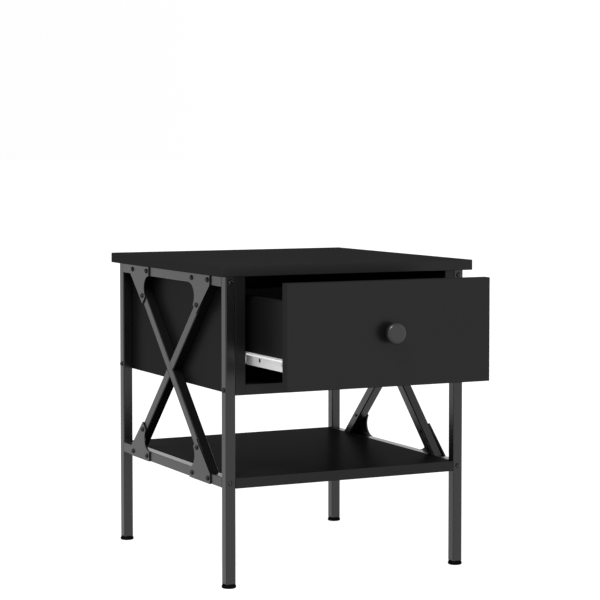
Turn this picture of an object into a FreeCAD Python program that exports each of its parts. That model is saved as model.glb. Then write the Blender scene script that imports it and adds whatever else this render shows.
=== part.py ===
import FreeCAD, Part
import math
import os

# Side table with one drawer, standing with its drawer part of the way open. Millimetres, +Z up, +X to the
# right along the front, the drawer opens towards -Y. The shapes are drawn about the floor point under the
# middle of the tabletop; save() then moves them along Y, so that the origin is on the floor under the middle
# of the whole object, open drawer and knob included.

# ---- overall sizes
HEIGHT = 450.0
TOP_WIDTH = 400.0
TOP_DEPTH = 425.0
BOARD = 15.0
BOARD_EDGE = 0.6
TOP_EDGE = 0.8
DRAWER_EDGE = 0.4

# ---- steel side frames, all of one square tube
FRAME_WIDTH = 380.0
FRAME_DEPTH = 405.0
TUBE = 15.0
TUBE_WALL = 1.2
TUBE_CORNER = 1.6
LEG_BOTTOM = 6.0
LOW_RAIL_Z = 147.0
BRACE_REACH = 143.0

# ---- corner plates, along the rail (from the table's middle) and down from the rail's centre line
PLATE_THICK = 2.0
PLATE_NEAR = 78.0
PLATE_FAR = 151.0
PLATE_ARC = 18.5
PLATE_TIP_ANGLE = 42.0
PLATE_TIP_WIDTH = 16.5
PLATE_NEAR_SCREW = 87.0
PLATE_TIP_SCREW = 104.0

# ---- screws
HEAD_RADIUS = 3.7
HEAD_HEIGHT = 2.2
HEAD_ROUND = 1.9
SHANK_RADIUS = 2.0
WOOD_SCREW_RADIUS = 2.25
RECESS_LENGTH = 3.6
RECESS_WIDTH = 1.0
RECESS_DEPTH = 1.1
SMALL_HEAD_RADIUS = 3.0
SMALL_HEAD_HEIGHT = 1.2
SMALL_SHANK_RADIUS = 1.6
PLATE_SCREW_STOP = 0.8
PLATE_SCREW_THROUGH = 1.6
PANEL_SCREW_DEPTH = 11.0
SHELF_SCREW_DEPTH = 20.0
CARCASS_SCREW_DEPTH = 25.0
LEG_SCREW_DEPTH = 13.0
TABLETOP_SCREW_DEPTH = 11.0
TABLETOP_SCREW_Y = 35.0
RUNNER_SCREW_DEPTH = 9.0
INSERT_LENGTH = 16.0

# ---- dowels
DOWEL_RADIUS = 4.0
DOWEL_LENGTH = 30.0
DOWEL_SHORT_END = 9.0
UPRIGHT_DOWEL_Y = (-140.0, 0.0, 140.0)
BOTTOM_DOWEL_Y = (-100.0, 100.0)
BACK_DOWEL_Z = 350.0

# ---- carcass
CARCASS_BOTTOM = 269.5

# ---- drawer
PULLED_OUT = 127.5
FRONT_WIDTH = 315.0
FRONT_BOTTOM = 286.5
FRONT_TOP = 432.0
DRAWER_BOARD = 12.0
DRAWER_WIDTH = 294.0
DRAWER_DEPTH = 290.0
DRAWER_LOW = 311.2
DRAWER_HIGH = 405.5
DRAWER_DOWEL_RADIUS = 3.0
DRAWER_DOWEL_IN_FRONT = 10.0
DRAWER_DOWEL_IN_SIDE = 8.0
DRAWER_DOWEL_ABOVE = 30.0
DRAWER_DOWEL_BELOW = 20.0
PANEL_THICK = 3.0
PANEL_GROOVE = 5.0
PANEL_LIFT = 12.0

# ---- runners
RUNNER_SHEET = 1.2
RUNNER_LOW = 310.0
RUNNER_HIGH = 327.5
RUNNER_REACH = 10.0
RUNNER_FOOT = 10.0
RUNNER_LIP = 0.8
RUNNER_CROWN = 0.9
RUNNER_SETBACK = 0.5
RUNNER_HOLE_RADIUS = 2.4
RUNNER_HOLE_Y = 91.0
RUNNER_HOLE_Z = 319.0
DRAWER_SCREW_Z = 319.4
DRAWER_SCREW_FIRST = 20.0
DRAWER_SCREW_LAST = 40.0
RUNNER_SCREW_MIDDLE = 150.0
CABINET_SHEET = 1.0
CABINET_LENGTH = 300.0
CABINET_FRONT_GAP = 1.5
CABINET_NOSE = 30.0
CABINET_LOW = 308.0
CABINET_HIGH = 333.0
CABINET_REACH = 10.3
CABINET_SCREW_INSET = 24.0
CABINET_NOSE_DROP = 8.0
CABINET_NOSE_TOP = 0.5
ROLLER_WIDTH = 7.0
FRONT_ROLLER_RADIUS = 8.0
REAR_ROLLER_RADIUS = 8.0
ROLLER_GAP = 0.3
ROLLER_SIDE_GAP = 1.3
ROLLER_EDGE = 0.8
ROLLER_PIN_RADIUS = 2.5
PIN_CLEARANCE = 0.05
PIN_END_GAP = 0.2
PIN_HEAD = 0.6
PIN_HEAD_RADIUS = 3.8
FRONT_ROLLER_INSET = 1.0
REAR_ROLLER_INSET = 11.0

# ---- knob
KNOB_LIFT = 74.0
KNOB_RADIUS = 14.9
KNOB_PROJECTION = 20.0
KNOB_DISC = 9.0
KNOB_BASE_RADIUS = 8.0
KNOB_NECK_RADIUS = 5.2
KNOB_FLARE = 1.5
KNOB_FRONT_EDGE = 5.0
KNOB_BACK_EDGE = 1.5
KNOB_SCREW_DEPTH = 12.0

# ---- feet
FOOT_RADIUS = 10.2
FOOT_DISC = 4.4
FOOT_EDGE = 1.6
FOOT_NECK_RADIUS = 9.2
STUD_RADIUS = 3.0
STUD_LENGTH = 20.0
STUD_END_GAP = 0.5
PLUG_LENGTH = 22.0

# ---- worked out from the above
TOP_UNDER = HEIGHT - BOARD
TOP_RAIL_Z = TOP_UNDER - TUBE / 2
MIDDLE_Z = (TOP_RAIL_Z + LOW_RAIL_Z) / 2
LEG_X = (FRAME_WIDTH - TUBE) / 2
LEG_Y = (FRAME_DEPTH - TUBE) / 2
FRAME_OUT = FRAME_WIDTH / 2
FRAME_IN = FRAME_OUT - TUBE
FRONT_PLANE = -FRAME_DEPTH / 2
BACK_PLANE = FRAME_DEPTH / 2
RAIL_HALF = FRAME_DEPTH / 2 - TUBE
BRACE_SLOPE = (TOP_RAIL_Z - MIDDLE_Z) / BRACE_REACH
BAY_HALF = FRAME_IN - BOARD
CARCASS_SCREW_Z = CARCASS_BOTTOM + BOARD / 2
FACE_Y = FRONT_PLANE - PULLED_OUT
BOX_FRONT = FACE_Y + BOARD
BOX_BACK = BOX_FRONT + DRAWER_DEPTH
BOX_HALF = DRAWER_WIDTH / 2
PANEL_LOW = DRAWER_LOW + PANEL_LIFT
TRACK_UNDER = RUNNER_HIGH - RUNNER_SHEET
FRONT_ROLLER_Z = TRACK_UNDER - ROLLER_GAP - FRONT_ROLLER_RADIUS
REAR_ROLLER_Y = BOX_BACK - REAR_ROLLER_INSET
REAR_ROLLER_Z = CABINET_LOW + CABINET_SHEET + ROLLER_GAP + REAR_ROLLER_RADIUS
ROLLER_IN = BOX_HALF + RUNNER_SHEET + ROLLER_SIDE_GAP
CABINET_FRONT = FRONT_PLANE + BOARD + CABINET_FRONT_GAP
CABINET_BACK = CABINET_FRONT + CABINET_LENGTH
FRONT_ROLLER_Y = CABINET_FRONT + FRONT_ROLLER_RADIUS + FRONT_ROLLER_INSET
PLUG_HALF = TUBE / 2 - TUBE_WALL
KNOB_Z = FRONT_BOTTOM + KNOB_LIFT
ORIGIN_SHIFT = (KNOB_PROJECTION - FACE_Y - TOP_DEPTH / 2) / 2

SIDES = {"left": -1, "right": 1}
ENDS = {"front": -1, "back": 1}
LEVELS = {"top": 1, "low": -1}


def vec(x, y, z):
    return FreeCAD.Vector(x, y, z)


def box(x, y, z):
    """A block between two values on each axis, given in either order."""
    low = vec(min(x), min(y), min(z))
    return Part.makeBox(max(x) - min(x), max(y) - min(y), max(z) - min(z), low)


def rod(start, end, radius):
    start = vec(*start)
    along = vec(*end) - start
    return Part.makeCylinder(radius, along.Length, start, along)


def eased(shape, radius=BOARD_EDGE):
    return shape.makeFillet(radius, shape.Edges)


def save(name, shape):
    placed = shape.copy()
    placed.translate(vec(0, ORIGIN_SHIFT, 0))
    placed.exportStep("parts/" + name + ".step")


def group(shapes):
    return Part.makeCompound(shapes)


def rounded_square(half, corner, start, end):
    """A square bar with rounded corners between two points; its sides face X and the two other axes."""
    start = vec(*start)
    along = vec(*end) - start
    length = along.Length
    bar = Part.makeBox(2 * half, 2 * half, length, vec(-half, -half, 0))
    edges = [edge for edge in bar.Edges if abs(edge.Length - length) < 1e-6]
    bar = bar.makeFillet(corner, edges) if corner else bar
    turn = FreeCAD.Rotation(vec(1, 0, 0), vec(0, 0, 0), along, "ZXY")
    bar.Placement = FreeCAD.Placement(start, turn)
    return bar


def square_tube(start, end):
    outer = rounded_square(TUBE / 2, TUBE_CORNER, start, end)
    inner = rounded_square(TUBE / 2 - TUBE_WALL, TUBE_CORNER - TUBE_WALL, start, end)
    return outer.cut(inner)


# ---- screws

def screw(tip, head_seat, radius=SHANK_RADIUS):
    """A pan head screw with a cross recess. It runs from its tip to the plane that its head sits on."""
    seat = vec(*head_seat)
    out = (seat - vec(*tip)).normalize()
    head = Part.makeCylinder(HEAD_RADIUS, HEAD_HEIGHT, vec(0, 0, 0), vec(0, 0, 1))
    rim = [edge for edge in head.Edges if abs(edge.BoundBox.ZMin - HEAD_HEIGHT) < 1e-6]
    head = head.makeFillet(HEAD_ROUND, rim)
    half = RECESS_LENGTH / 2
    slot = Part.makeBox(RECESS_LENGTH, RECESS_WIDTH, RECESS_DEPTH,
                        vec(-half, -RECESS_WIDTH / 2, HEAD_HEIGHT - RECESS_DEPTH))
    other = slot.copy()
    other.rotate(vec(0, 0, 0), vec(0, 0, 1), 90)
    head = head.cut(slot.fuse(other))
    head.Placement = FreeCAD.Placement(seat, FreeCAD.Rotation(vec(0, 0, 1), out))
    return head.fuse(rod(tip, head_seat, radius)).removeSplitter()


def flush_screw(tip, seat):
    """A countersunk screw: its flat head ends level with the seat plane."""
    inward = (vec(*tip) - vec(*seat)).normalize()
    head = Part.makeCone(SMALL_HEAD_RADIUS, SMALL_SHANK_RADIUS, SMALL_HEAD_HEIGHT, vec(*seat), inward)
    return head.fuse(rod(tip, seat, SMALL_SHANK_RADIUS)).removeSplitter()


def brace_point(reach, side_of_middle):
    """Height on a brace's centre line at a distance along Y from the table's middle."""
    return MIDDLE_Z + side_of_middle * BRACE_SLOPE * reach


def plate_screw_places():
    """Short screws: the rails' far holes and the plates' tips. X runs from the shank's tip to the seat.

    Below the carcass the tip screws are free to come out through the braces' inner faces.
    """
    places = []
    for side in SIDES.values():
        seat = side * (FRAME_OUT + PLATE_THICK)
        for end in ENDS.values():
            for level, rail_z in ((1, TOP_RAIL_Z), (-1, LOW_RAIL_Z)):
                stop = side * (FRAME_IN + PLATE_SCREW_STOP)
                tip_stop = stop if level > 0 else side * (FRAME_IN - PLATE_SCREW_THROUGH)
                places.append((stop, seat, end * BRACE_REACH, rail_z))
                places.append((tip_stop, seat, end * PLATE_TIP_SCREW, brace_point(PLATE_TIP_SCREW, level)))
    return places


def board_screw_places():
    """Long screws through the plates' near holes and the rails into the side panels or the shelf."""
    places = []
    for side in SIDES.values():
        seat = side * (FRAME_OUT + PLATE_THICK)
        for end in ENDS.values():
            y = end * PLATE_NEAR_SCREW
            places.append((side * (FRAME_IN - PANEL_SCREW_DEPTH), seat, y, TOP_RAIL_Z))
            places.append((side * (FRAME_IN - SHELF_SCREW_DEPTH), seat, y, LOW_RAIL_Z))
    return places


def carcass_screw_places():
    """Long screws through the legs and the side panels into the bottom panel's edges."""
    return [(side * (BAY_HALF - CARCASS_SCREW_DEPTH), side * FRAME_OUT, end * LEG_Y, CARCASS_SCREW_Z)
            for side in SIDES.values() for end in ENDS.values()]


def leg_screw_places():
    """Screws through the legs' front and back faces into the rails' end inserts."""
    return [(side * LEG_X, end * (RAIL_HALF - LEG_SCREW_DEPTH), end * FRAME_DEPTH / 2, z)
            for side in SIDES.values() for end in ENDS.values() for z in (TOP_RAIL_Z, LOW_RAIL_Z)]


def tabletop_screw_shapes():
    """Countersunk screws up through the top rails into the tabletop, their heads flush with the rails."""
    tip_z = TOP_UNDER + TABLETOP_SCREW_DEPTH
    seat_z = TOP_UNDER - TUBE
    places = [(side * LEG_X, end * TABLETOP_SCREW_Y) for side in SIDES.values() for end in ENDS.values()]
    return [flush_screw((x, y, tip_z), (x, y, seat_z)) for x, y in places]


def crosswise(places, radius):
    return [screw((tip, y, z), (seat, y, z), radius) for tip, seat, y, z in places]


def crosswise_holes(places, radius):
    return group([rod((tip, y, z), (seat, y, z), radius) for tip, seat, y, z in places])


PLATE_SCREWS = plate_screw_places()
BOARD_SCREWS = board_screw_places()
CARCASS_SCREWS = carcass_screw_places()
LEG_SCREWS = leg_screw_places()
TABLETOP_SCREWS = group(tabletop_screw_shapes())


def leg_screw_holes():
    return group([rod((x, inner, z), (x, seat, z), SHANK_RADIUS) for x, inner, seat, z in LEG_SCREWS])


PLATE_HOLES = crosswise_holes(PLATE_SCREWS, SHANK_RADIUS)
BOARD_HOLES = crosswise_holes(BOARD_SCREWS, SHANK_RADIUS)
CARCASS_HOLES = crosswise_holes(CARCASS_SCREWS, WOOD_SCREW_RADIUS)
LEG_HOLES = leg_screw_holes()


def fasteners():
    save("plate_screws", group(crosswise(PLATE_SCREWS, SHANK_RADIUS)))
    save("board_screws", group(crosswise(BOARD_SCREWS, SHANK_RADIUS)))
    save("carcass_screws", group(crosswise(CARCASS_SCREWS, WOOD_SCREW_RADIUS)))
    save("leg_screws", group([screw((x, inner, z), (x, seat, z)) for x, inner, seat, z in LEG_SCREWS]))
    save("tabletop_screws", TABLETOP_SCREWS)


# ---- steel frames

def legs():
    for side_name, side in SIDES.items():
        for end_name, end in ENDS.items():
            x, y = side * LEG_X, end * LEG_Y
            leg = square_tube((x, y, LEG_BOTTOM), (x, y, TOP_UNDER))
            save("leg_%s_%s" % (end_name, side_name), leg.cut(LEG_HOLES).cut(CARCASS_HOLES))


def rails():
    for side_name, side in SIDES.items():
        for level_name, z in (("top", TOP_RAIL_Z), ("lower", LOW_RAIL_Z)):
            rail = square_tube((side * LEG_X, -RAIL_HALF, z), (side * LEG_X, RAIL_HALF, z))
            for holes in (PLATE_HOLES, BOARD_HOLES, TABLETOP_SCREWS):
                rail = rail.cut(holes)
            save("%s_rail_%s" % (level_name, side_name), rail)


def rail_inserts():
    """Threaded inserts in the rails' ends, one for each leg screw."""
    inserts = []
    for x, inner, seat, z in LEG_SCREWS:
        end = math.copysign(1, seat)
        mouth = end * RAIL_HALF
        root = mouth - end * INSERT_LENGTH
        block = rounded_square(PLUG_HALF, TUBE_CORNER - TUBE_WALL, (x, root, z), (x, mouth, z))
        inserts.append(block.cut(LEG_HOLES))
    save("rail_inserts", group(inserts))


def brace_bar(side, lean):
    """A tube along a brace's centre line, cut level where it meets the two rails. lean 1 rises to +Y."""
    x = side * LEG_X
    over = BRACE_REACH + TUBE
    bar = square_tube((x, -lean * over, MIDDLE_Z - BRACE_SLOPE * over),
                      (x, lean * over, MIDDLE_Z + BRACE_SLOPE * over))
    span = (x - TUBE, x + TUBE), (-over - TUBE, over + TUBE)
    return bar.common(box(*span, (LOW_RAIL_Z + TUBE / 2, TOP_RAIL_Z - TUBE / 2))).cut(PLATE_HOLES)


def braces():
    """One brace of each cross runs through; the other is two halves that butt against it."""
    for side_name, side in SIDES.items():
        save("brace_long_" + side_name, brace_bar(side, 1))
        x = side * LEG_X
        over = BRACE_REACH
        keep_out = rounded_square(TUBE / 2, 0, (x, -over, MIDDLE_Z - BRACE_SLOPE * over),
                                  (x, over, MIDDLE_Z + BRACE_SLOPE * over))
        halves = brace_bar(side, -1).cut(keep_out).Solids
        upper, lower = sorted(halves, key=lambda solid: -solid.CenterOfMass.z)
        save("brace_upper_" + side_name, upper)
        save("brace_lower_" + side_name, lower)


def plate_outline(end, level):
    """The corner plate's outline in the frame's plane: u along the rail, h towards the table's middle."""
    rail_z = TOP_RAIL_Z if level > 0 else LOW_RAIL_Z
    half = TUBE / 2

    def at(u, h):
        return vec(0, end * u, rail_z - level * h)

    def on_arc(degrees):
        angle = math.radians(degrees)
        return at(PLATE_NEAR + PLATE_ARC * math.sin(angle), half + PLATE_ARC * (1 - math.cos(angle)))

    arc_end = 90 + PLATE_TIP_ANGLE
    slant = math.atan(BRACE_SLOPE)
    inner = on_arc(arc_end)
    across = vec(0, end * math.sin(slant), -level * math.cos(slant)) * PLATE_TIP_WIDTH
    near, far, shoulder = at(PLATE_NEAR, -half), at(PLATE_FAR, -half), at(PLATE_FAR, half)
    curve = Part.Arc(on_arc(0), on_arc(arc_end / 2), inner).toShape()
    corners = [inner, inner + across, shoulder, far, near, on_arc(0)]
    lines = [Part.makeLine(a, b) for a, b in zip(corners, corners[1:])]
    return Part.Face(Part.Wire([curve] + lines))


def corner_plates():
    for side_name, side in SIDES.items():
        for end_name, end in ENDS.items():
            for level_name, level in LEVELS.items():
                plate = plate_outline(end, level).extrude(vec(side * PLATE_THICK, 0, 0))
                plate.translate(vec(side * FRAME_OUT, 0, 0))
                plate = plate.cut(PLATE_HOLES).cut(BOARD_HOLES)
                save("plate_%s_%s_%s" % (level_name, end_name, side_name), plate)


def feet():
    """Screw-in feet: a rounded disc, a short step and a stud; each sits under its leg."""
    neck_top = LEG_BOTTOM
    stud_top = LEG_BOTTOM + STUD_LENGTH
    disc = Part.makeCylinder(FOOT_RADIUS, FOOT_DISC)
    disc = disc.makeFillet(FOOT_EDGE, [edge for edge in disc.Edges if edge.Closed])
    neck = rod((0, 0, FOOT_DISC / 2), (0, 0, neck_top), FOOT_NECK_RADIUS)
    foot = disc.fuse([neck, rod((0, 0, neck_top), (0, 0, stud_top), STUD_RADIUS)]).removeSplitter()
    plugs = []
    for side_name, side in SIDES.items():
        for end_name, end in ENDS.items():
            x, y = side * LEG_X, end * LEG_Y
            placed = foot.copy()
            placed.translate(vec(x, y, 0))
            save("foot_%s_%s" % (end_name, side_name), placed)
            plug = rounded_square(PLUG_HALF, TUBE_CORNER - TUBE_WALL, (x, y, LEG_BOTTOM),
                                  (x, y, LEG_BOTTOM + PLUG_LENGTH))
            bore = STUD_RADIUS + PIN_CLEARANCE
            plugs.append(plug.cut(rod((x, y, 0), (x, y, stud_top + STUD_END_GAP), bore)))
    save("leg_plugs", group(plugs))


# ---- boards

def dowel_places():
    """Wooden dowels: side panels up into the tabletop, and across into the bottom and back panels."""
    dowels = []
    high = TOP_UNDER + DOWEL_SHORT_END
    for side in SIDES.values():
        x = side * (FRAME_IN - BOARD / 2)
        dowels += [rod((x, y, high - DOWEL_LENGTH), (x, y, high), DOWEL_RADIUS) for y in UPRIGHT_DOWEL_Y]
        outer = side * (BAY_HALF + DOWEL_SHORT_END)
        inner = outer - side * DOWEL_LENGTH
        across = [(y, CARCASS_SCREW_Z) for y in BOTTOM_DOWEL_Y] + [(BACK_PLANE - BOARD / 2, BACK_DOWEL_Z)]
        dowels += [rod((outer, y, z), (inner, y, z), DOWEL_RADIUS) for y, z in across]
    return dowels


def carcass():
    dowels = dowel_places()
    holes = group(dowels)
    depth = (FRONT_PLANE, BACK_PLANE)
    runner_holes = group(cabinet_runner_screw_shanks())
    top = box((-TOP_WIDTH / 2, TOP_WIDTH / 2), (-TOP_DEPTH / 2, TOP_DEPTH / 2), (TOP_UNDER, HEIGHT))
    save("tabletop", eased(top, TOP_EDGE).cut(holes).cut(TABLETOP_SCREWS))
    for side_name, side in SIDES.items():
        panel = eased(box((side * BAY_HALF, side * FRAME_IN), depth, (CARCASS_BOTTOM, TOP_UNDER)))
        for hole in (holes, runner_holes, BOARD_HOLES, CARCASS_HOLES):
            panel = panel.cut(hole)
        save("side_panel_" + side_name, panel)
    bottom = eased(box((-BAY_HALF, BAY_HALF), depth, (CARCASS_BOTTOM, CARCASS_BOTTOM + BOARD)))
    save("bottom_panel", bottom.cut(holes).cut(CARCASS_HOLES))
    back = eased(box((-BAY_HALF, BAY_HALF), (BACK_PLANE - BOARD, BACK_PLANE),
                     (CARCASS_BOTTOM + BOARD, TOP_UNDER)))
    save("back_panel", back.cut(holes))
    shelf = eased(box((-FRAME_IN, FRAME_IN), depth, (LOW_RAIL_Z - BOARD / 2, LOW_RAIL_Z + BOARD / 2)))
    save("lower_shelf", shelf.cut(BOARD_HOLES))
    save("dowels", group(dowels))


# ---- runners

def cabinet_runner_screw_shanks():
    """Short screws that hold the cabinet runners to the side panels, as plain shanks."""
    return [rod(tip, seat, SMALL_SHANK_RADIUS) for tip, seat in cabinet_screw_spots()]


def cabinet_screw_spots():
    """Tip and seat of each screw that holds a cabinet runner."""
    z = (CABINET_LOW + CABINET_HIGH) / 2
    along = (CABINET_FRONT + CABINET_SCREW_INSET, CABINET_FRONT + RUNNER_SCREW_MIDDLE,
             CABINET_BACK - CABINET_SCREW_INSET)
    return [((side * (BAY_HALF + RUNNER_SCREW_DEPTH), y, z), (side * (BAY_HALF - CABINET_SHEET), y, z))
            for side in SIDES.values() for y in along]


def small_screw(tip, seat):
    """A low headed screw for thin sheet."""
    out = (vec(*seat) - vec(*tip)).normalize()
    cap = Part.makeCone(SMALL_HEAD_RADIUS, SMALL_HEAD_RADIUS * 0.7, SMALL_HEAD_HEIGHT, vec(*seat), out)
    return cap.fuse(rod(tip, seat, SMALL_SHANK_RADIUS)).removeSplitter()


def drawer_runner_screws():
    """Countersunk, so that their heads pass clear of the front rollers' pins."""
    along = (BOX_FRONT + DRAWER_SCREW_FIRST, BOX_FRONT + RUNNER_SCREW_MIDDLE, BOX_BACK - DRAWER_SCREW_LAST)
    return [flush_screw((side * (BOX_HALF - RUNNER_SCREW_DEPTH), y, DRAWER_SCREW_Z),
                        (side * (BOX_HALF + RUNNER_SHEET), y, DRAWER_SCREW_Z))
            for side in SIDES.values() for y in along]


def drawer_runner(side):
    """Folded strip: a foot under the drawer side, an upright web, and a track with a turned-down lip."""
    web_in = side * BOX_HALF
    web_out = side * (BOX_HALF + RUNNER_SHEET)
    edge = web_out + side * RUNNER_REACH
    length = (BOX_FRONT + RUNNER_SETBACK, BOX_BACK)
    web = box((web_in, web_out), length, (RUNNER_LOW, RUNNER_HIGH))
    foot = box((web_in, web_in - side * RUNNER_FOOT), length, (RUNNER_LOW, RUNNER_LOW + RUNNER_SHEET))
    track = box((web_out, edge), length, (TRACK_UNDER, RUNNER_HIGH))
    lip = box((edge - side * RUNNER_SHEET, edge), length, (TRACK_UNDER - RUNNER_LIP, TRACK_UNDER))
    strip = web.fuse([foot, track, lip]).removeSplitter()
    long_edges = [edge_line for edge_line in strip.Edges if edge_line.BoundBox.YLength > DRAWER_DEPTH / 2]
    crown = [edge_line for edge_line in long_edges if edge_line.BoundBox.ZMin > RUNNER_HIGH - RUNNER_SHEET / 2]
    strip = strip.makeFillet(RUNNER_CROWN, crown)
    y = BOX_FRONT + RUNNER_HOLE_Y
    spare = rod((web_in, y, RUNNER_HOLE_Z), (web_out, y, RUNNER_HOLE_Z), RUNNER_HOLE_RADIUS)
    strip = strip.cut(spare).cut(group(drawer_runner_screws()))
    return strip.cut(rear_roller_pin(side))


def cabinet_runner(side):
    """Channel fixed to the side panel, open towards the drawer, with a bare nose for the front roller."""
    back = side * BAY_HALF
    face = side * (BAY_HALF - CABINET_SHEET)
    edge = side * (BAY_HALF - CABINET_REACH)
    channel = (CABINET_FRONT + CABINET_NOSE, CABINET_BACK)
    web = box((back, face), channel, (CABINET_LOW, CABINET_HIGH))
    nose = box((back, face), (CABINET_FRONT, channel[0]),
               (FRONT_ROLLER_Z - CABINET_NOSE_DROP, RUNNER_HIGH - CABINET_NOSE_TOP))
    low = box((back, edge), channel, (CABINET_LOW, CABINET_LOW + CABINET_SHEET))
    high = box((back, edge), channel, (CABINET_HIGH - CABINET_SHEET, CABINET_HIGH))
    strip = web.fuse([nose, low, high]).removeSplitter()
    strip = strip.cut(group(cabinet_runner_screw_shanks()))
    return strip.cut(front_roller_pin(side))


def pin(inner_end, outer_end, y, z):
    """A stub axle with a thin head on its free end."""
    out = math.copysign(1, outer_end - inner_end)
    stem = rod((inner_end, y, z), (outer_end, y, z), ROLLER_PIN_RADIUS)
    return stem.fuse(rod((outer_end, y, z), (outer_end + out * PIN_HEAD, y, z), PIN_HEAD_RADIUS))


def front_roller_pin(side):
    return pin(side * BAY_HALF, side * (ROLLER_IN - PIN_END_GAP), FRONT_ROLLER_Y, FRONT_ROLLER_Z)


def rear_roller_pin(side):
    outer = side * (ROLLER_IN + ROLLER_WIDTH + PIN_END_GAP)
    return pin(side * BOX_HALF, outer, REAR_ROLLER_Y, REAR_ROLLER_Z)


def roller(side, y, z, radius):
    """A plastic wheel with a rounded tread on a stub axle."""
    ends = (side * ROLLER_IN, y, z), (side * (ROLLER_IN + ROLLER_WIDTH), y, z)
    wheel = rod(*ends, radius)
    wheel = wheel.makeFillet(ROLLER_EDGE, [edge for edge in wheel.Edges if edge.Closed])
    return wheel.cut(rod(*ends, ROLLER_PIN_RADIUS + PIN_CLEARANCE))


def runners():
    for side_name, side in SIDES.items():
        save("cabinet_runner_" + side_name, cabinet_runner(side))
        save("drawer_runner_" + side_name, drawer_runner(side))
        save("front_roller_" + side_name, roller(side, FRONT_ROLLER_Y, FRONT_ROLLER_Z, FRONT_ROLLER_RADIUS))
        save("rear_roller_" + side_name, roller(side, REAR_ROLLER_Y, REAR_ROLLER_Z, REAR_ROLLER_RADIUS))
    save("front_roller_pins", group([front_roller_pin(side) for side in SIDES.values()]))
    save("rear_roller_pins", group([rear_roller_pin(side) for side in SIDES.values()]))
    save("cabinet_runner_screws", group([small_screw(tip, seat) for tip, seat in cabinet_screw_spots()]))
    save("drawer_runner_screws", group(drawer_runner_screws()))


# ---- drawer

def drawer_dowels():
    """Dowels in the drawer's four corners: the sides' ends into the front, and the back into the sides."""
    dowels = []
    front_end = BOX_FRONT - DRAWER_DOWEL_IN_FRONT
    back_y = BOX_BACK - DRAWER_BOARD / 2
    for side in SIDES.values():
        middle = side * (BOX_HALF - DRAWER_BOARD / 2)
        outer = side * (BOX_HALF - DRAWER_BOARD + DRAWER_DOWEL_IN_SIDE)
        inner = outer - side * DOWEL_LENGTH
        for z in (DRAWER_LOW + DRAWER_DOWEL_ABOVE, DRAWER_HIGH - DRAWER_DOWEL_BELOW):
            back_end = front_end + DOWEL_LENGTH
            dowels.append(rod((middle, front_end, z), (middle, back_end, z), DRAWER_DOWEL_RADIUS))
            dowels.append(rod((outer, back_y, z), (inner, back_y, z), DRAWER_DOWEL_RADIUS))
    return dowels


def drawer():
    panel = box((-BOX_HALF + DRAWER_BOARD - PANEL_GROOVE, BOX_HALF - DRAWER_BOARD + PANEL_GROOVE),
                (BOX_FRONT - PANEL_GROOVE, BOX_BACK - DRAWER_BOARD + PANEL_GROOVE),
                (PANEL_LOW, PANEL_LOW + PANEL_THICK))
    pegs = group(drawer_dowels())
    knob_hole = rod((0, FACE_Y, KNOB_Z), (0, BOX_FRONT, KNOB_Z), SHANK_RADIUS)
    heights = (DRAWER_LOW, DRAWER_HIGH)

    face = box((-FRONT_WIDTH / 2, FRONT_WIDTH / 2), (FACE_Y, BOX_FRONT), (FRONT_BOTTOM, FRONT_TOP))
    save("drawer_front", eased(face, TOP_EDGE).cut(panel).cut(pegs).cut(knob_hole))
    runner_holes = group(drawer_runner_screws())
    inner = BOX_HALF - DRAWER_BOARD
    for side_name, side in SIDES.items():
        board = eased(box((side * inner, side * BOX_HALF), (BOX_FRONT, BOX_BACK), heights), DRAWER_EDGE)
        for holes in (panel, pegs, runner_holes):
            board = board.cut(holes)
        save("drawer_side_" + side_name, board)
    back = eased(box((-inner, inner), (BOX_BACK - DRAWER_BOARD, BOX_BACK), heights), DRAWER_EDGE)
    save("drawer_back", back.cut(panel).cut(pegs))
    save("drawer_bottom", panel)
    save("drawer_dowels", group(drawer_dowels()))


def knob():
    """Turned knob: a wide foot, a waisted neck and a disc with a full rounded front edge, turned about Y."""
    tip = FACE_Y - KNOB_PROJECTION
    back_of_disc = tip + KNOB_DISC
    start = vec(0, FACE_Y, KNOB_Z)
    foot = vec(KNOB_BASE_RADIUS, FACE_Y, KNOB_Z)
    waist = vec(KNOB_NECK_RADIUS, (FACE_Y + back_of_disc) / 2, KNOB_Z)
    flare = vec(KNOB_NECK_RADIUS + KNOB_FLARE, back_of_disc, KNOB_Z)
    rim = [vec(KNOB_RADIUS, back_of_disc, KNOB_Z), vec(KNOB_RADIUS, tip, KNOB_Z)]
    corners = [flare] + rim + [vec(0, tip, KNOB_Z)]
    edges = [Part.makeLine(start, foot), Part.Arc(foot, waist, flare).toShape()]
    edges += [Part.makeLine(a, b) for a, b in zip(corners, corners[1:])]
    edges.append(Part.makeLine(corners[-1], start))
    body = Part.Face(Part.Wire(edges)).revolve(start, vec(0, 1, 0), 360)
    rims = [edge for edge in body.Edges if edge.Closed and edge.BoundBox.XMax > KNOB_RADIUS - KNOB_FLARE]
    front_rims = [edge for edge in rims if abs(edge.BoundBox.YMin - tip) < 1e-6]
    body = body.makeFillet(KNOB_FRONT_EDGE, front_rims)
    back_rims = [edge for edge in body.Edges if edge.Closed and edge.BoundBox.XMax > KNOB_RADIUS - KNOB_FLARE
                 and abs(edge.BoundBox.YMax - back_of_disc) < 1e-6]
    body = body.makeFillet(KNOB_BACK_EDGE, back_rims)
    screw_tip = (0, FACE_Y - KNOB_SCREW_DEPTH, KNOB_Z)
    save("knob", body.cut(rod(screw_tip, (0, FACE_Y, KNOB_Z), SHANK_RADIUS)))
    save("knob_screw", screw(screw_tip, (0, BOX_FRONT, KNOB_Z)))


os.makedirs("parts", exist_ok=True)
fasteners()
legs()
rails()
rail_inserts()
braces()
corner_plates()
feet()
carcass()
runners()
drawer()
knob()
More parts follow.
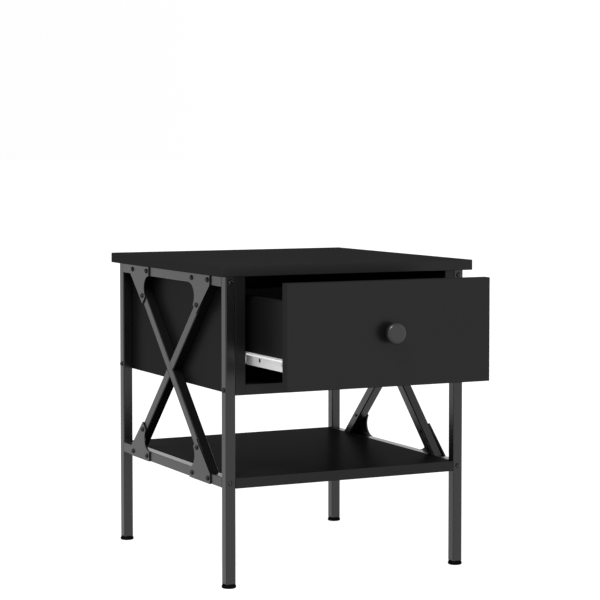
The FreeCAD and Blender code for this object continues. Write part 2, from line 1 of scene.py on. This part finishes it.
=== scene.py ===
# %% [markdown]
# A small black side table: matte boards on two steel side frames, each braced with a cross, and one drawer
# that runs on white roller runners. The CAD model holds every part at its real size. This file gives the
# parts their finishes, makes a few turned pieces finer than the CAD has them, and sets up the view.
# Everything is in metres, +Z up, and the drawer opens towards -Y.

# %% Load the frame
import math

import bmesh
import bpy
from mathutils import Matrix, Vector


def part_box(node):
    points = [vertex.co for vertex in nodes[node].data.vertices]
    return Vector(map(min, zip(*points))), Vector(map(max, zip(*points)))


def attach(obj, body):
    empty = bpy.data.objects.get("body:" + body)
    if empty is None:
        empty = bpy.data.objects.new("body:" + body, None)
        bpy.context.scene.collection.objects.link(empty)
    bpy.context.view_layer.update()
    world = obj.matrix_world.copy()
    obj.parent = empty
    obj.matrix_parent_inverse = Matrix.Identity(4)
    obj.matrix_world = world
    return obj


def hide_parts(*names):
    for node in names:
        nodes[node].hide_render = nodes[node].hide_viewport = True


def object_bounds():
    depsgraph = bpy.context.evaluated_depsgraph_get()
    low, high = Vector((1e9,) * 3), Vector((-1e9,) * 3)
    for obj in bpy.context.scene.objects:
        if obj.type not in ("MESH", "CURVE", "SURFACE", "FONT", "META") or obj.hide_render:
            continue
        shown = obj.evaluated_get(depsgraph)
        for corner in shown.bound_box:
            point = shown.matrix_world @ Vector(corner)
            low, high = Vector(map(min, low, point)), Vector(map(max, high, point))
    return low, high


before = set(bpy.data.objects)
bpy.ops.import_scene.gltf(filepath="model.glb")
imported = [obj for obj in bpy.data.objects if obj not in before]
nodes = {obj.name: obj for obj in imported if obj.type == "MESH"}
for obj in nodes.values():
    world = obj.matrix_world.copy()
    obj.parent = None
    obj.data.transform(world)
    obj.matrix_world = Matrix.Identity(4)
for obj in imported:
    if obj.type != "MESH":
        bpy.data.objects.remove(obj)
cad_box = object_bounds()
MM = 0.001

# %% [markdown]
# The camera stands a little to the left of the table and above it, three metres off, with a long lens, so
# that upright edges stay nearly parallel. It looks a little over the table, and its lens is shifted down to
# bring the table back into the frame, as on a view camera, which keeps the uprights upright. It could be
# placed by typing in a location and three angles. Here it is worked out from the table's own box: a point to
# aim at, a direction and a distance, because those are the words in which a view is described.

# %% Camera
VIEW_TURN = math.radians(26.21)
VIEW_DIP = math.radians(3.075)
VIEW_DISTANCE = 2.9488
LENS = 119.09
LENS_SHIFT = -0.0667
AIM_RIGHT = -8.8 * MM
AIM_UP = 221.9 * MM
FARTHEST_SEEN = 1000.0

low, high = (Vector(corner) for corner in cad_box)
middle = (low + high) / 2
heading = Vector((math.sin(VIEW_TURN) * math.cos(VIEW_DIP), math.cos(VIEW_TURN) * math.cos(VIEW_DIP),
                  -math.sin(VIEW_DIP)))
rightward = heading.cross(Vector((0, 0, 1))).normalized()
upward = rightward.cross(heading)
aim = middle + rightward * AIM_RIGHT + upward * AIM_UP

camera_data = bpy.data.cameras.new("camera")
camera_data.lens = LENS
camera_data.shift_y = LENS_SHIFT
camera_data.clip_end = FARTHEST_SEEN
camera = bpy.data.objects.new("camera", camera_data)
camera.location = aim - heading * VIEW_DISTANCE
camera.rotation_euler = heading.to_track_quat("-Z", "Y").to_euler()
bpy.context.scene.collection.objects.link(camera)
bpy.context.scene.camera = camera
print("camera at", [round(value, 4) for value in camera.location])

# %% [markdown]
# A finish is a material made of nodes, and so is a sky. Written out node by node they can't be read, so three
# small classes let them be written as sums. Field wraps one output socket and knows plus, minus, times and
# power. Nodes holds a tree, and its node method adds any other node: its type, its settings, then its
# sockets. Finish is the Nodes of one material.

# %% Writing finishes as sums
class Field:
    """A value that changes from place to place: one node output, with arithmetic."""

    def __init__(self, maker, socket):
        self.maker = maker
        self.socket = socket

    def output(self, name):
        """Another output of the same node."""
        return Field(self.maker, self.socket.node.outputs[name])

    def math(self, operation, first, second=0.0):
        return self.maker.node("ShaderNodeMath", {"operation": operation}, {0: first, 1: second})

    def __add__(self, other):
        return self.math("ADD", self, other)

    def __radd__(self, other):
        return self.math("ADD", other, self)

    def __sub__(self, other):
        return self.math("SUBTRACT", self, other)

    def __rsub__(self, other):
        return self.math("SUBTRACT", other, self)

    def __mul__(self, other):
        return self.math("MULTIPLY", self, other)

    def __rmul__(self, other):
        return self.math("MULTIPLY", other, self)

    def __pow__(self, other):
        return self.math("POWER", self, other)

    def most(self, other):
        return self.math("MAXIMUM", self, other)

    def size(self):
        return self.math("ABSOLUTE", self)


class Nodes:
    """Adds nodes to one tree, that of a finish or of the sky."""

    def __init__(self, tree):
        self.tree = tree

    def node(self, kind, settings=None, sockets=None, output=0):
        """Adds a node: settings first, then each socket's value or link. Gives one of its outputs."""
        made = self.tree.nodes.new(kind)
        for name, value in (settings or {}).items():
            setattr(made, name, value)
        for name, value in (sockets or {}).items():
            if isinstance(value, Field):
                self.tree.links.new(value.socket, made.inputs[name])
            else:
                made.inputs[name].default_value = value
        return Field(self, made.outputs[output])

    def apart(self, vector):
        """A vector taken apart: its outputs are X, Y and Z."""
        return self.node("ShaderNodeSeparateXYZ", {}, {0: vector})

    def between(self, value, start, end):
        """0 below start, 1 above end, and smooth in between."""
        return self.node("ShaderNodeMapRange", {"interpolation_type": "SMOOTHSTEP"},
                         {"Value": value, "From Min": start, "From Max": end})


print("one millimetre is", MM, "of the scene's units")

# %% [markdown]
# The light is a white studio: walls all round that are brightest at the height of the table, and duller
# straight up and straight down. Black paint shows mostly what it mirrors, so the walls decide how grey each
# face of the steel looks. The wall beyond the table's right front is a touch brighter than the one behind.
# A small set of area lights would leave black gaps between its reflections, so a world shader does this,
# from the direction of the light alone. One soft panel, high at the front left, adds the highlight on the
# knob's rim. The Standard view keeps the finishes' tones as they are set.

# %% Light
WALL = 1.046
ZENITH = 0.65
WALL_ENDS = 0.3
ZENITH_STARTS = 0.85
TURN_BRIGHTER = 0.09
PANEL_DIRECTION = Vector((-0.41, -0.47, 0.78))
PANEL_DISTANCE = 2.0
PANEL_SIZE = 0.5
PANEL_POWER = 20.0

world = bpy.data.worlds.new("studio")
bpy.context.scene.world = world
world.use_nodes = True
sky = Nodes(world.node_tree)
direction = sky.apart(sky.node("ShaderNodeTexCoord", output="Generated"))
steepness = direction.output("Z").size()
height = WALL + (ZENITH - WALL) * sky.between(steepness, WALL_ENDS, ZENITH_STARTS)
turn = 1.0 + TURN_BRIGHTER * (direction.output("X") - direction.output("Y"))
background = sky.tree.nodes["Background"]
background.inputs["Color"].default_value = (1, 1, 1, 1)
sky.tree.links.new((height * turn).socket, background.inputs["Strength"])

panel_data = bpy.data.lights.new("panel", "AREA")
panel_data.energy = PANEL_POWER
panel_data.size = PANEL_SIZE
panel = bpy.data.objects.new("panel", panel_data)
panel.location = middle + PANEL_DIRECTION.normalized() * PANEL_DISTANCE
panel.rotation_euler = (-PANEL_DIRECTION).to_track_quat("-Z", "Y").to_euler()
bpy.context.scene.collection.objects.link(panel)
bpy.context.scene.view_settings.view_transform = "Standard"
print("studio walls", WALL, "overhead", ZENITH)

# %% [markdown]
# Every finish needs the same few things: where a point is, which way it faces, a cloudy noise, a mix of two
# colours and a bump. They are methods of Finish, so that a finish can be read as a recipe. Grey levels are
# linear, as the shader takes them. Paint then lays a finish on the CAD parts that share the first words of
# a name.

# %% Finishes and paint
MIRROR_SHARE = 0.5


class Finish(Nodes):
    """A material with one Principled shader. Plain values go straight on the shader's own sockets."""

    def __init__(self, name, **plain):
        self.material = bpy.data.materials.new(name)
        self.material.use_nodes = True
        super().__init__(self.material.node_tree)
        self.shader = self.tree.nodes["Principled BSDF"]
        for socket, value in plain.items():
            self.shader.inputs[socket.replace("_", " ")].default_value = value

    def place(self):
        """Where a point is on the table, in metres."""
        return self.node("ShaderNodeTexCoord", output="Object")

    def facing(self):
        """Which way the surface faces, in the table's own directions."""
        return self.node("ShaderNodeTexCoord", output="Normal")

    def stretched(self, scale):
        """The place with each direction scaled, for a pattern that runs along a part."""
        return self.node("ShaderNodeMapping", {}, {"Vector": self.place(), "Scale": scale})

    def noise(self, scale, detail=2.0, roughness=0.5, at=None):
        """Cloudy noise from 0 to 1. scale is in cycles for one metre."""
        return self.node("ShaderNodeTexNoise", {}, {"Vector": at or self.place(), "Scale": scale,
                                                    "Detail": detail, "Roughness": roughness})

    def colours(self, mask, first, second):
        """Mixes two colours, or fields of colour."""
        return self.node("ShaderNodeMix", {"data_type": "RGBA"}, {0: mask, 6: first, 7: second}, output=2)

    def bump(self, height, depth, strength=1.0, below=None):
        """Turns a height from 0 to 1 into a dent or rise that is depth metres deep."""
        sockets = {"Height": height, "Distance": depth, "Strength": strength}
        if below is not None:
            sockets["Normal"] = below
        return self.node("ShaderNodeBump", {}, sockets)

    def add_mirror(self, colour, roughness, normal):
        """Lays an even mirror-like sheen over the shader: the same strength at every angle."""
        sheen = self.node("ShaderNodeBsdfGlossy", {"distribution": "GGX"},
                          {"Color": colour, "Roughness": roughness, "Normal": normal})
        both = self.node("ShaderNodeMixShader", {}, {0: MIRROR_SHARE, 2: sheen})
        self.tree.links.new(self.shader.outputs[0], both.socket.node.inputs[1])
        self.tree.links.new(both.socket, self.tree.nodes["Material Output"].inputs["Surface"])

    def feed(self, **links):
        """Links fields to the shader's own sockets."""
        for socket, field in links.items():
            self.tree.links.new(field.socket, self.shader.inputs[socket.replace("_", " ")])


def grey(level):
    return (level, level, level, 1.0)


def tinted(red, green, blue):
    return (red, green, blue, 1.0)


def paint(finish, names):
    """Gives a finish to CAD parts, by the first words of their names."""
    done = 0
    for name, part in nodes.items():
        if any(name == start or name.startswith(start + "_") for start in names):
            for slot in part.material_slots:
                slot.material = finish.material
            done += 1
    print(finish.material.name, "on", done, "parts")


print("parts to paint:", len(nodes))

# %% [markdown]
# The boards are taken to be particle board under black melamine paper, with a thin plastic band on the edges,
# which is how such tables are usually made. The paper is nearly flat: a fine pearl grain that takes the shine
# away, and faint cloudiness. A noise at a millimetre and under makes the pearl, and a slow one makes the
# clouds. The band is half a millimetre thick, so each broad face has a hairline seam just inside its border.
# The seam could be cut into the mesh; it is drawn in the finish instead, from the distance to the board's own
# border, since it is far finer than any edge on the board.

# %% Black boards
BAND = 0.55 * MM
SEAM = 0.12 * MM
SEAM_SOFT = 0.06 * MM
SEAM_DEPTH = 0.08 * MM
PEARL_DEPTH = 0.04 * MM
EDGE_FACING = 0.75
BROAD_FACING = 0.95


def border_seam(finish, name):
    """1 along the hairline between a board's face and its edge band, and 1 on the band, as two fields."""
    corners = [Vector(corner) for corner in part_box(name)]
    centre = (corners[0] + corners[1]) / 2
    size = corners[1] - corners[0]
    thin = min(range(3), key=lambda axis: size[axis])
    place = finish.apart(finish.place())
    facing = finish.apart(finish.facing())
    lines = []
    for axis in range(3):
        if axis != thin:
            inward = size[axis] / 2 - (place.output("XYZ"[axis]) - centre[axis]).size()
            start = finish.between(inward, BAND, BAND + SEAM_SOFT)
            end = finish.between(inward, BAND + SEAM, BAND + SEAM + SEAM_SOFT)
            lines.append(start - end)
    broad = finish.between(facing.output("XYZ"[thin]).size(), EDGE_FACING, BROAD_FACING)
    return lines[0].most(lines[1]) * broad, 1.0 - broad


def black_board(name):
    finish = Finish("board_" + name, Specular_IOR_Level=0.0)
    pearl = finish.noise(2600.0, detail=3.0, roughness=0.6)
    clouds = finish.noise(9.0, detail=3.0)
    specks = finish.between(finish.noise(5200.0, detail=1.0), 0.62, 0.72)
    seam, band = border_seam(finish, name)
    colour = finish.colours(clouds, grey(0.010), grey(0.013))
    colour = finish.colours(specks * 0.35, colour, grey(0.03))
    colour = finish.colours(seam * 0.8, colour, grey(0.003))
    grain = finish.bump(pearl, PEARL_DEPTH, 0.5, below=finish.bump(1.0 - seam, SEAM_DEPTH, 0.7))
    finish.feed(Base_Color=colour, Roughness=0.62 + clouds * 0.12 + pearl * 0.08, Normal=grain)
    finish.add_mirror(grey(0.038), 0.29 + clouds * 0.06 - band * 0.03, grain)
    return finish


BOARDS = ["tabletop", "side_panel_left", "side_panel_right", "bottom_panel", "back_panel", "lower_shelf",
          "drawer_front", "drawer_side_left", "drawer_side_right", "drawer_back", "drawer_bottom"]
for board in BOARDS:
    paint(black_board(board), [board])

# %% [markdown]
# The frames are square steel tube and flat corner plates under black powder coat. Powder melts into a skin
# with a slight orange-peel wave a millimetre or two across, and a much finer grain on top. Both are bumps
# from noise. The coat reflects at low angles, so the tube looks grey at a glance and black face on.

# %% Black powder coat
PEEL_DEPTH = 0.05 * MM
GRAIN_DEPTH = 0.02 * MM
SOFT_BUMP = 0.6


def black_steel():
    finish = Finish("black_steel", IOR=1.51)
    peel = finish.noise(700.0)
    grain = finish.noise(3800.0)
    clouds = finish.noise(22.0)
    wave = finish.bump(peel, PEEL_DEPTH, SOFT_BUMP)
    finish.feed(Base_Color=finish.colours(clouds, grey(0.005), grey(0.007)),
                Roughness=0.2 + clouds * 0.05 + grain * 0.04,
                Normal=finish.bump(grain, GRAIN_DEPTH, SOFT_BUMP, below=wave))
    return finish


paint(black_steel(), ["leg", "top_rail", "lower_rail", "brace", "plate"])

# %% [markdown]
# The screws that show are black pan heads, taken to be oxide blacked. The oxide is a thin dark skin on bright
# metal, worn a little on the rim and in the recess where a driver has been. The screws in the legs look
# shinier than the ones in the plates, so the finish takes its shine and its dullness as arguments. The hidden
# screws and pins are zinc plated, with a faint tarnish.

# %% Screws and small metal
ZINC_DEPTH = 0.01 * MM


def black_oxide(name, shine, dullness):
    finish = Finish(name, Specular_IOR_Level=shine)
    rub = finish.between(finish.noise(900.0, detail=3.0), 0.6, 0.74)
    finish.feed(Base_Color=finish.colours(rub, grey(0.005), grey(0.03)),
                Metallic=rub * 0.4,
                Roughness=dullness - rub * 0.08,
                Normal=finish.bump(finish.noise(4200.0), GRAIN_DEPTH, SOFT_BUMP))
    return finish


def zinc():
    finish = Finish("zinc", Metallic=1.0)
    tarnish = finish.noise(300.0, detail=4.0)
    finish.feed(Base_Color=finish.colours(tarnish, tinted(0.52, 0.53, 0.56), tinted(0.66, 0.66, 0.65)),
                Roughness=0.28 + tarnish * 0.16,
                Normal=finish.bump(finish.noise(2600.0), ZINC_DEPTH, SOFT_BUMP))
    return finish


paint(black_oxide("oxide_dull", shine=0.32, dullness=0.34),
      ["plate_screws", "board_screws", "carcass_screws"])
paint(black_oxide("oxide_shiny", shine=0.55, dullness=0.22), ["leg_screws"])
paint(zinc(), ["tabletop_screws", "front_roller_pins", "cabinet_runner_screws", "rear_roller_pins",
               "drawer_runner_screws", "knob_screw"])

# %% [markdown]
# The runners are folded sheet steel under white epoxy: whiter and glossier than the powder coat, with a
# faint orange peel. Each drawer runner has a spare hole. It is so small in the view that the white round it
# washes it out, so a thin dark ring of painted shade is laid round it, standing in for the shadow inside the
# hole, to let it read as a hole. That ring is a drawing aid, not a known feature of the runner. It is a
# distance from the hole's centre, turned into a mask. The wheels on the runners are moulded nylon, a white
# that lets a little light in.

# %% Runners and wheels
HOLE_FROM_FRONT = 90.5 * MM
HOLE_UP = 9.0 * MM
HOLE_SHADE_RADIUS = 3.0 * MM
HOLE_SHADE_SOFT = 0.15 * MM
EPOXY_DEPTH = 0.04 * MM
LIGHT_INTO_NYLON = 2.0 * MM


def painted_hole_shade(finish, runner):
    """1 on a ring of painted shade round the spare hole of a drawer runner, on both of its sides."""
    low_corner = Vector(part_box(runner)[0])
    place = finish.apart(finish.place())
    along = place.output("Y") - (low_corner.y + HOLE_FROM_FRONT)
    up = place.output("Z") - (low_corner.z + HOLE_UP)
    distance = (along * along + up * up) ** 0.5
    return 1.0 - finish.between(distance, HOLE_SHADE_RADIUS - HOLE_SHADE_SOFT, HOLE_SHADE_RADIUS)


def white_epoxy(name, runner=None):
    finish = Finish(name, IOR=1.5)
    peel = finish.noise(520.0)
    dust = finish.noise(60.0, detail=4.0)
    coat = finish.colours(dust, grey(0.86), grey(0.93))
    roughness = 0.24 + dust * 0.1
    if runner:
        hole_shade = painted_hole_shade(finish, runner)
        # Painted shade: the ring round the spare hole is near black, standing in for the shadow in the hole.
        coat = finish.colours(hole_shade, coat, grey(0.01))
        roughness = roughness + hole_shade * 0.3
    finish.feed(Base_Color=coat, Roughness=roughness, Normal=finish.bump(peel, EPOXY_DEPTH, SOFT_BUMP))
    return finish


def white_nylon():
    finish = Finish("white_nylon", IOR=1.53, Subsurface_Weight=0.15, Subsurface_Scale=LIGHT_INTO_NYLON)
    flow = finish.noise(240.0, detail=3.0)
    finish.feed(Base_Color=finish.colours(flow, tinted(0.83, 0.83, 0.81), tinted(0.88, 0.88, 0.87)),
                Roughness=0.38 + flow * 0.12,
                Normal=finish.bump(finish.noise(1600.0), GRAIN_DEPTH, SOFT_BUMP))
    return finish


paint(white_epoxy("white_epoxy"), ["cabinet_runner"])
for runner in ("drawer_runner_left", "drawer_runner_right"):
    paint(white_epoxy("epoxy_" + runner, runner), [runner])
paint(white_nylon(), ["front_roller", "rear_roller"])

# %% [markdown]
# Small hidden parts: beech dowels with their grain along the peg, and black nylon plugs in the tube ends.
# The grain is a noise stretched in one direction, which is simpler than rings and enough for a peg.

# %% Dowels and plugs
ALONG_THE_PEG = (1.0, 1.0, 0.12)
WOOD_DEPTH = 0.1 * MM
MOULDED_DEPTH = 0.03 * MM


def beech():
    finish = Finish("beech")
    grain = finish.noise(260.0, detail=4.0, at=finish.stretched(ALONG_THE_PEG))
    flecks = finish.between(finish.noise(1500.0), 0.6, 0.7)
    wood = finish.colours(grain, tinted(0.50, 0.34, 0.20), tinted(0.68, 0.50, 0.33))
    finish.feed(Base_Color=finish.colours(flecks * 0.5, wood, tinted(0.36, 0.22, 0.12)),
                Roughness=0.6 + grain * 0.15,
                Normal=finish.bump(grain, WOOD_DEPTH, 0.5))
    return finish


def black_moulding():
    finish = Finish("black_moulding", Specular_IOR_Level=0.0)
    spark = finish.noise(3000.0)
    clouds = finish.noise(40.0)
    finish.feed(Base_Color=finish.colours(clouds, grey(0.003), grey(0.006)),
                Roughness=0.4 + spark * 0.15,
                Normal=finish.bump(spark, MOULDED_DEPTH, SOFT_BUMP))
    return finish


moulding = black_moulding()
paint(beech(), ["dowels", "drawer_dowels"])
paint(moulding, ["leg_plugs", "rail_inserts"])

# %% [markdown]
# The knob and the feet are round all over, and a faceted edge shows on them first. They can be made of a
# cylinder with bevels, or turned: a profile is drawn once and spun about its axis. Turning lets the neck and
# each rounded edge be drawn as what it is.

# %% Turned pieces
TURN_STEPS = 96
SAME_PLACE = 0.001 * MM
SHARP_EDGE = math.radians(35)


def arc(radius, distance, size, start, end, count=10):
    """Points of a profile round a corner's centre, from one angle to another, in degrees."""
    angles = [math.radians(start + (end - start) * step / count) for step in range(count + 1)]
    return [(radius + size * math.cos(angle), distance + size * math.sin(angle)) for angle in angles]


def turned(name, profile, foot, axis, finish):
    """Spins a profile about an axis that starts at foot. Its points are (radius, distance), in mm."""
    along = Vector(axis)
    across = along.orthogonal().normalized()
    shape = bmesh.new()
    points = [shape.verts.new(foot + (across * radius + along * distance) * MM)
              for radius, distance in profile]
    lines = [shape.edges.new(pair) for pair in zip(points, points[1:])]
    bmesh.ops.spin(shape, geom=points + lines, cent=foot, axis=along, angle=math.tau, steps=TURN_STEPS,
                   use_merge=True)
    bmesh.ops.remove_doubles(shape, verts=shape.verts, dist=SAME_PLACE)
    bmesh.ops.recalc_face_normals(shape, faces=shape.faces)
    mesh = bpy.data.meshes.new(name)
    shape.to_mesh(mesh)
    shape.free()
    mesh.shade_smooth()
    mesh.set_sharp_from_angle(angle=SHARP_EDGE)
    mesh.materials.append(finish.material)
    piece = bpy.data.objects.new(name, mesh)
    bpy.context.scene.collection.objects.link(piece)
    print(name, len(mesh.polygons), "faces")
    return piece


print("turned pieces have", TURN_STEPS, "steps round")

# %% [markdown]
# The knob: a wide base against the drawer front, a waist between finger and thumb, and a thick disc whose
# front edge is rounded over. Its face is a very shallow dome. It is hollow where its screw goes in. The
# lacquer is satin, with a slight wave in it.

# %% Knob
LACQUER_WAVE = 0.03 * MM
KNOB_BORE = [(0.0, 12.0), (2.0, 12.0), (2.0, 0.0)]
KNOB_BASE = [(7.6, 0.0), (7.95, 0.35)]
KNOB_NECK = [(7.0, 1.3), (6.2, 2.5), (5.6, 3.9), (5.25, 5.4), (5.2, 6.6), (5.4, 8.2), (5.9, 9.8), (6.7, 11.0)]
KNOB_DISC = 9.0
BACK_EDGE = 1.5
FRONT_EDGE = 5.0
DOME_RISE = 0.15
DOME_MIDDLE = (6.0, 0.06)


def knob_lacquer():
    finish = Finish("knob_lacquer", IOR=1.5)
    clouds = finish.noise(70.0)
    wave = finish.bump(finish.noise(420.0), LACQUER_WAVE, 0.5)
    finish.feed(Base_Color=finish.colours(clouds, grey(0.012), grey(0.016)),
                Roughness=0.3 + clouds * 0.06,
                Normal=finish.bump(finish.noise(1800.0), GRAIN_DEPTH, SOFT_BUMP, below=wave))
    return finish


knob_low, knob_high = (Vector(corner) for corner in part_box("knob"))
knob_middle = (knob_low + knob_high) / 2
knob_radius = (knob_high.x - knob_low.x) / 2 / MM
knob_length = (knob_high.y - knob_low.y) / MM
disc_back = knob_length - KNOB_DISC
knob_profile = (KNOB_BORE + KNOB_BASE + KNOB_NECK
                + arc(knob_radius - BACK_EDGE, disc_back + BACK_EDGE, BACK_EDGE, -90, 0)
                + arc(knob_radius - FRONT_EDGE, knob_length - FRONT_EDGE - DOME_RISE, FRONT_EDGE, 0, 88, 16)
                + [(DOME_MIDDLE[0], knob_length - DOME_MIDDLE[1]), (0.0, knob_length)])
knob = turned("knob_turned", knob_profile, Vector((knob_middle.x, knob_high.y, knob_middle.z)), (0, -1, 0),
              knob_lacquer())
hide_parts("knob")
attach(knob, "drawer")

# %% [markdown]
# The feet: a disc with a rounded edge that meets the floor, a step up to the leg's end, and a stud that
# screws into the leg. They are taken to be moulded, with a fine mark round the rim as two halves of a mould
# leave. The sole is a little hollow, so that the foot stands on its rim.

# %% Feet
FOOT_EDGE = 1.6
FOOT_DISC = 4.4
EDGE_ENDS_AT = 66
SOLE_HOLLOW = 0.25
SOLE_SLOPE = (3.0, 2.4)
MARK_HEIGHT = 2.2
MARK_HALF = 0.2
MARK_DEPTH = 0.12
STEP = [(9.2, 4.35), (9.2, 5.7), (8.9, 6.0)]
STUD = [(3.0, 6.0), (3.0, 25.6), (2.6, 26.0), (0.0, 26.0)]


def foot_profile(radius):
    """From the middle of the sole, round the rim and up to the top of the stud, in mm."""
    sole = [(0.0, SOLE_HOLLOW), (radius - SOLE_SLOPE[0], SOLE_HOLLOW), (radius - SOLE_SLOPE[1], 0.0)]
    mark = [(radius, MARK_HEIGHT - MARK_HALF), (radius - MARK_DEPTH, MARK_HEIGHT),
            (radius, MARK_HEIGHT + MARK_HALF)]
    lower_edge = arc(radius - FOOT_EDGE, FOOT_EDGE, FOOT_EDGE, -90, 0)
    upper_edge = arc(radius - FOOT_EDGE, FOOT_DISC - FOOT_EDGE, FOOT_EDGE, 0, EDGE_ENDS_AT)
    return sole + lower_edge + mark + upper_edge + STEP + STUD


for name in sorted(nodes):
    if name.startswith("foot_"):
        foot_low, foot_high = (Vector(corner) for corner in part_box(name))
        radius = (foot_high.x - foot_low.x) / 2 / MM
        centre = (foot_low + foot_high) / 2
        foot = turned(name + "_turned", foot_profile(radius), Vector((centre.x, centre.y, foot_low.z)),
                      (0, 0, 1), moulding)
        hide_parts(name)
        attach(foot, name)

# %% [markdown]
# The table stands on a plain white floor that gives off a little light of its own, to stay white all over.
# The floor shows to the camera and takes the table's soft shadow, but it lends the table no light and isn't
# mirrored in the paint, in the same way as a low stage that is hidden from the reflections.

# %% Floor
FLOOR_HALF = 150.0
FLOOR_GLOW = 0.91


def white_floor():
    finish = Finish("white_floor", Specular_IOR_Level=0.0, Emission_Color=grey(1.0),
                    Emission_Strength=FLOOR_GLOW)
    clouds = finish.noise(0.7)
    finish.feed(Base_Color=finish.colours(clouds, grey(0.29), grey(0.31)), Roughness=0.9 + clouds * 0.05)
    return finish


floor_shape = bmesh.new()
bmesh.ops.create_grid(floor_shape, x_segments=1, y_segments=1, size=FLOOR_HALF)
floor_mesh = bpy.data.meshes.new("floor")
floor_shape.to_mesh(floor_mesh)
floor_shape.free()
floor_mesh.materials.append(white_floor().material)
floor = bpy.data.objects.new("floor", floor_mesh)
floor.visible_glossy = False
floor.visible_diffuse = False
bpy.context.scene.collection.objects.link(floor)
print("floor", 2 * FLOOR_HALF, "m across")

# %% [markdown]
# Last, the CAD model's box is printed.

# %% Print the CAD box
print("CAD box", cad_box)
